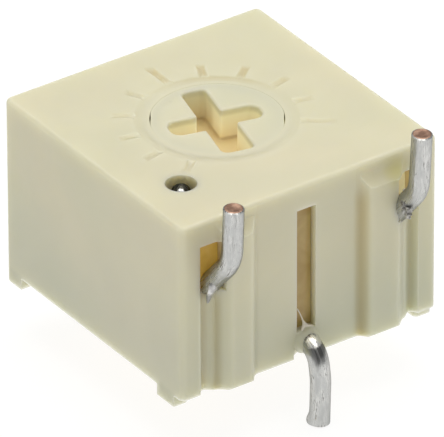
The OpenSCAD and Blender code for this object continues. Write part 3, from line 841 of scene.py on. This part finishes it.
def case_body():
    """Case: a softened block on four feet, with its ribs, hollows, windows, dial and the collar."""
    body = prism("case_body", round_rect((LEFT_X, FACE_Y), (RIGHT_X, BACK_Y), CORNER_R), -0.07, TOP_Z)
    soften(body, OUTER_EDGE_R, 5)
    under = block("under", (LEFT_X - 0.2, FACE_Y - 0.2, -0.5), (RIGHT_X + 0.2, BACK_Y + 0.2, BASE_Z))
    combine(under, [foot_post(*foot) for foot in FEET], "DIFFERENCE")
    combine(body, [under], "DIFFERENCE")
    combine(body, [rib(-1), rib(1)], "UNION")
    dome = arc((0, MID_WIRE_Z - 0.25), MID_GROOVE_R, 0, 90, 6)
    middle_groove = turned("middle_groove", [(0, 0.1), (MID_GROOVE_R, 0.1)] + dome, 64)
    middle_groove.data.transform(Matrix.Translation((0, FACE_Y - 0.14, 0)))
    pocket = round_rect((-POCKET_HALF, FACE_Y + WALL), (POCKET_HALF, BACK_Y - WALL), 0.1)
    cuts = [
        prism("pocket", pocket, 0.1, LEDGE_Z),
        drum("ring_seat", (0, 0), ROTOR_R + 0.4, CEILING_Z - 0.1, RING_TOP),
        drum("chamber", (0, 0), LUG_R + 0.04, LEDGE_Z - 0.1, CEILING_Z),
        drum("index_hole", INDEX_AT, INDEX_R, LEDGE_Z - 0.1, TOP_Z + 0.2, 64),
        middle_groove, channel(-1), channel(1), window(-MID_HALF, MID_HALF, MID_WIRE_Z + 0.26),
    ] + [window(*sides) for sides in WINDOWS]
    combine(body, cuts, "DIFFERENCE")
    clean(body)
    soften(body, EDGE_R, 3, 42)
    low, high = TOP_Z - 0.03, TOP_Z + 0.03
    ring = turned("ring", [(1.7, low), (1.84, low), (1.98, high), (1.56, high)], 128)
    marks = grow("dial_marks", DIAL_TREE, {"Finish": CASE_PLASTIC, "Level": TOP_Z})
    bore = drum("bore", (0, 0), BORE_R, RING_TOP - 0.1, TOP_Z + 0.2, 128)
    combine(body, [ring, marks, bore], "DIFFERENCE")
    combine(body, [collar()], "UNION")
    return dress(to_metres(smooth(clean(body))), CASE_PLASTIC)


def rim_outline():
    """Outline of the rotor's head: a circle that is worn back a little at two opposite places."""
    outline = []
    for i in range(180):
        angle = math.radians(2 * i)
        off = (2 * i - RIM_GAP_AT + 90) % 180 - 90
        radius = ROTOR_R - RIM_GAP * math.exp(-(off / 7.5) ** 2)
        outline.append((radius * math.cos(angle), radius * math.sin(angle)))
    return outline


def rotor_body():
    """Rotor with its head, flange and stop lug, and the four arms of the cross slot in its face."""
    rotor = drum("rotor_body", (0, 0), ROTOR_R + 0.2, FLANGE_TOP - 0.1, ROTOR_TOP)
    arms = [prism("arm", round_rect(low, high, radius), ROTOR_TOP - SLOT_DEPTH, ROTOR_TOP + 0.2)
            for low, high, radius in SLOT_ARMS]
    combine(rotor, arms, "DIFFERENCE")
    soften(clean(rotor), 0.06, 4)
    combine(rotor, [prism("rim", rim_outline(), 0, ROTOR_TOP + 1)], "INTERSECT")
    flange = drum("flange", (0, 0), FLANGE_R, FLANGE_BOTTOM, FLANGE_TOP)
    lug = prism("lug", arc((0, 0), LUG_R, -10, 10, 10) + arc((0, 0), FLANGE_R - 0.2, 10, -10, 10),
                FLANGE_BOTTOM, FLANGE_TOP)
    combine(rotor, [flange, lug], "UNION")
    smooth(clean(rotor)).data.transform(Matrix.Rotation(math.radians(POINTER), 4, "Z"))
    return dress(to_metres(rotor), ROTOR_PLASTIC)


# ------------------------ leads

class Route:
    """Centre line of a wire: straights, and bends in a plane, with points close together."""

    step = 0.05

    def __init__(self, start, heading):
        self.points = [Vector(start)]
        self.heading = Vector(heading).normalized()

    def straight(self, length):
        count = max(1, round(length / self.step))
        start = self.points[-1].copy()
        self.points += [start + self.heading * length * (i + 1) / count for i in range(count)]

    def bend(self, towards, radius, degrees):
        """Turns the heading towards a direction, by an angle, round a radius."""
        side = Vector(towards)
        side = (side - side.project(self.heading)).normalized()
        start = self.points[-1].copy()
        ahead = self.heading.copy()
        count = max(3, round(abs(math.radians(degrees)) * radius / self.step))
        for i in range(1, count + 1):
            angle = math.radians(degrees) * i / count
            self.points.append(start + ahead * radius * math.sin(angle) + side * radius * (1 - math.cos(angle)))
        self.heading = ahead * math.cos(math.radians(degrees)) + side * math.sin(math.radians(degrees))


def line_mesh(name, points, shares):
    """Line through points; each share scales the wire's radius there."""
    mesh = bpy.data.meshes.new(name)
    mesh.from_pydata([tuple(p) for p in points], [(i, i + 1) for i in range(len(points) - 1)], [])
    mesh.attributes.new("thick", "FLOAT", "POINT").data.foreach_set("value", shares)
    return mesh


def round_tip(points):
    """Shares of the radius that give a line's first end a round tip."""
    shares, gone = [], 0.0
    for i, point in enumerate(points):
        if i:
            gone += (point - points[i - 1]).length
        inside = min(1.0, max(0.02, gone / WIRE_R))
        shares.append(math.sqrt(1 - (1 - inside) ** 2))
    return shares


def wire_piece(name, route, finish, seed, burr=0.0):
    """Wire with a round inner tip and a sheared outer end that shows its copper core.

    A burr pushes the end's left edge outwards.
    """
    points = route.points
    wire = grow(name, WIRE_TREE, {"Radius": WIRE_R, "Dent": 0.012, "Dent Size": 1.6, "Seed": seed,
                                  "Finish": finish}, line_mesh(name, points, round_tip(points)))
    dress(wire, finish, COPPER)
    bm = bmesh.new()
    bm.from_mesh(wire.data)
    end = points[-1]
    caps = [face for face in bm.faces if len(face.verts) > 8]
    cap = min(caps, key=lambda face: (face.calc_center_median() - end).length)
    bmesh.ops.inset_region(bm, faces=[cap], thickness=0.03, depth=0.02)
    slope = bmesh.ops.inset_region(bm, faces=[cap], thickness=0.03, depth=0.012)["faces"]
    dish = bmesh.ops.inset_region(bm, faces=[cap], thickness=0.08, depth=-0.01)["faces"]
    middle = bmesh.ops.poke(bm, faces=[cap])["faces"]
    for face in slope + dish + middle:
        face.material_index = 1
    ahead, aside = route.heading, Vector((-0.82, 0.57, 0))
    for vert in bm.verts:
        back, out = (end - vert.co).dot(ahead), (vert.co - end).dot(aside)
        if out > 0 and back < 0.4:
            vert.co += aside * burr * math.exp(-((back - 0.06) / 0.13) ** 2) * (out / WIRE_R) ** 2
    bm.to_mesh(wire.data)
    bm.free()
    return to_metres(wire)


def outer_route(side, tip, height, rise, slope_len, slope_r, slope_turn, free_len):
    """Outer lead: down its post, along its pad, out of the window and up past the case.

    It lies on its pad at a height, rises by an angle outside, and turns upright after a slope.
    """
    post = Vector((side * -INDEX_AT[0], INDEX_AT[1], 0))
    kink = Vector((side * LEAD_PITCH, KINK_Y, 0))
    out = (kink - post).normalized()
    route = Route((post.x, post.y, tip), (0, 0, -1))
    route.straight(tip - height - ELBOW_R)
    route.bend(out, ELBOW_R, 90)
    route.straight((kink - post).length - ELBOW_R - 0.15)
    turn = math.degrees(out.angle(Vector((0, -1, 0))))
    route.bend((0, -1, 0), 0.15 / math.tan(math.radians(turn / 2)), turn)
    route.straight(0.1)
    route.bend((0, 0, 1), 0.5, rise)
    route.straight(slope_len)
    route.bend((0, 0, 1), slope_r, slope_turn)
    route.straight(free_len)
    return route


def middle_route():
    """Middle lead: down its post, out of the middle window and down past the case."""
    post_y, post_tip = 0.45 - LUG_R, 2.81
    route = Route((0, post_y, post_tip), (0, 0, -1))
    route.straight(post_tip - MID_WIRE_Z - ELBOW_R)
    route.bend((0, -1, 0), ELBOW_R, 90)
    route.straight(post_y - ELBOW_R - FACE_Y)
    route.bend((0, 0, -1), 0.5, 80)
    route.straight(0.25)
    route.bend((0, 1, 0), 1.2, 12)
    route.straight(1.0)
    return route


def loft(name, rings):
    """Closed solid through rings, rounded all over."""
    piece = skinned(name, rings)
    piece.data.shade_smooth()
    rounder = piece.modifiers.new("round", "SUBSURF")
    rounder.levels = rounder.render_levels = 2
    return settle(piece)


def solder_tail():
    """Solder drawn down to a point below lead 1, pinched to a ridge."""
    # height, middle, half width, front, and how far the ridge stands out
    sections = ((2.64, -2.70, 0.02, -3.46, 0.015), (2.76, -2.69, 0.08, -3.49, 0.05),
                (2.92, -2.68, 0.16, -3.54, 0.09), (3.05, -2.67, 0.21, -3.60, 0.11),
                (3.18, -2.63, 0.24, -3.63, 0.12), (3.36, -2.60, 0.29, -3.62, 0.14))
    return loft("solder_tail", [
        [(middle - half, y, z), (middle - 0.35 * half, y - ridge, z),
         (middle + 0.4 * half, y - ridge * 0.45, z), (middle + half, y + 0.02, z), (middle, y + 0.09, z)]
        for z, middle, half, y, ridge in sections])


def crumbled(point):
    """Rough noise between about -0.5 and 0.5, with coarse and fine parts."""
    return 0.6 * noise_at(point) + 0.25 * noise_at(point * 2.3) + 0.15 * noise_at(point * 5.1)


def flux_lump():
    """Crumbs of solder and flux on the root of lead 3, on its left and front."""
    middle, across, up = Vector((2.42, -3.93, 3.68)), Vector((0.82, -0.57, 0)), Vector((0.30, 0.43, 0.85))
    # across, up and size
    crumbs = ((-0.04, 0.27, 0.05), (-0.07, 0.15, 0.06), (0.02, 0.10, 0.08), (-0.03, 0.0, 0.09),
              (0.06, -0.04, 0.07), (0.0, -0.13, 0.09), (0.06, -0.18, 0.05), (0.02, -0.25, 0.06),
              (0.05, -0.33, 0.03))
    bm = bmesh.new()
    for i, (aside, height, size) in enumerate(crumbs):
        centre = middle + across * aside + up * height
        for vert in bmesh.ops.create_icosphere(bm, subdivisions=4, radius=1.15 * size)["verts"]:
            vert.co = centre + vert.co * (1.1 + 1.1 * crumbled(vert.co * 14 + Vector((i * 9, 0, 0))))
    lump = from_bmesh("flux_lump", bm)
    lump.data.shade_smooth()
    return lump


def flash_thread():
    """Thin forked thread of moulding flash over lead 2."""
    long_line = ((-0.27, 1.64), (-0.21, 1.52), (-0.158, 1.40), (-0.12, 1.29), (-0.085, 1.19), (-0.03, 1.12),
                 (0.06, 1.085), (0.148, 1.06))
    fork = ((-0.075, 1.17), (-0.11, 1.10), (-0.149, 1.02))
    threads = []
    for i, line in enumerate((long_line, fork)):
        points = [Vector((x, FACE_Y - 0.03, z)) for x, z in line]
        shares = [0.4 + 1.3 * math.exp(-((x + 0.06) ** 2 + (z - 1.13) ** 2) / 0.012) for x, z in line]
        sizes = {"Radius": 0.033, "Sides": 12, "Dent": 0.02, "Dent Size": 9.0, "Seed": 3.0 + i,
                 "Finish": FLASH}
        threads.append(grow("flash_thread", WIRE_TREE, sizes, line_mesh("flash_thread", points, shares)))
    return combine(threads[0], threads[1:], "UNION")


def collar():
    """Plastic drawn out round the root of lead 2."""
    # place along the wire, height and radius
    sections = ((-3.35, 0.72, 0.36), (-3.449, 0.72, 0.355), (-3.455, 0.72, 0.34), (-3.47, 0.715, 0.318),
                (-3.50, 0.71, 0.298), (-3.56, 0.70, 0.275), (-3.64, 0.67, 0.255), (-3.72, 0.635, 0.225))
    return loft("collar", [[(x, y, z) for x, z in arc((0, height), radius, 0, 340, 17)]
                           for y, height, radius in sections])


case = case_body()
rotor = rotor_body()
left_route = outer_route(-1, POST_TIP, height=2.914, rise=48.6, slope_len=0.906, slope_r=1.13,
                         slope_turn=39, free_len=1.0)
right_route = outer_route(1, BLIND_TIP, height=2.9, rise=50, slope_len=1.06, slope_r=0.9,
                          slope_turn=36, free_len=1.22)
lead_1 = wire_piece("lead_1_wire", left_route, TIN["lead_1"], 1.0)
lead_2 = wire_piece("lead_2_wire", middle_route(), TIN["lead_2"], 5.0, 0.065)
lead_3 = wire_piece("lead_3_wire", right_route, TIN["lead_3"], 9.0)

for piece, node, slot, body in (
    (case, "housing", "housing_plastic", "case"), (rotor, "rotor", "rotor_plastic", "rotor"),
    (lead_1, "lead_1", "tinned_copper", "case"), (lead_2, "lead_2", "tinned_copper", "case"),
    (lead_3, "lead_3", "tinned_copper", "case"),
):
    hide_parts(node)
    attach(piece, body)

for piece, finish, slot in ((solder_tail(), SOLDER, "solder"), (flux_lump(), FLUX, "solder"),
                            (flash_thread(), FLASH, "housing_plastic")):
    dress(to_metres(piece), finish)
    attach(piece, "case")


# ------------------------ floor, light and camera

def lit_paper():
    """White paper on a light table, so that shadows on it stay faint."""
    made, tree, shader, place = material("lit_paper", 0.9)
    shade = mix_colour(tree, noise(tree, place, 40.0), (0.16, 0.16, 0.16, 1), (0.15, 0.15, 0.15, 1))
    plug(tree, shader, {"Base Color": shade, "Emission Color": (1, 1, 0.995, 1), "Emission Strength": 0.893})
    return made


def add_floor():
    """Paper just under the lowest lead, far wider than the view."""
    size = 600
    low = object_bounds()[0].z / MM
    floor = block("floor", (-size, -size, low - 20.0), (size, size, low - 0.01))
    dress(to_metres(floor), lit_paper())


def add_light():
    """Even white surroundings, and a square softbox overhead."""
    world = bpy.data.worlds.new("studio")
    world.use_nodes = True
    tree = world.node_tree
    plug(tree, tree.nodes["Background"], {"Color": (1, 1, 1, 1), "Strength": 0.31})
    SCENE.world = world
    softbox = bpy.data.lights.new("overhead", "AREA")
    softbox.shape = "SQUARE"
    softbox.size = 60 * MM
    softbox.energy = 0.031
    softbox.color = (1.0, 0.985, 0.95)
    light = new_object("overhead", softbox)
    at = Vector((6, 6, 60))
    light.location = at * MM
    light.rotation_euler = (-at).to_track_quat("-Z", "Y").to_euler()


CAMERA_AZIMUTH = -35.02               # degrees
CAMERA_ELEVATION = 31.75
CAMERA_ROLL = 0.16
CAMERA_AWAY = 260                     # millimetres


def add_camera():
    """Long lens, to the side of the lead face and above it."""
    azimuth, elevation = math.radians(CAMERA_AZIMUTH), math.radians(CAMERA_ELEVATION)
    back = Vector((math.sin(azimuth) * math.cos(elevation), -math.cos(azimuth) * math.cos(elevation),
                   math.sin(elevation)))
    right = Vector((math.cos(azimuth), math.sin(azimuth), 0))
    up = back.cross(right)
    target = Vector((0, 0, 2.5)) + right * 0.099 - up * 0.286
    data = bpy.data.cameras.new("camera")
    data.sensor_width = 36
    data.lens = 936
    data.clip_start = 0.01
    data.clip_end = 2
    camera = new_object("camera", data)
    camera.rotation_mode = "QUATERNION"
    camera.location = (target + back * CAMERA_AWAY) * MM
    look = (-back).to_track_quat("-Z", "Y")
    camera.rotation_quaternion = look @ Matrix.Rotation(math.radians(-CAMERA_ROLL), 3, "Z").to_quaternion()
    SCENE.camera = camera


add_floor()
add_light()
add_camera()
SCENE.view_settings.view_transform = "Standard"
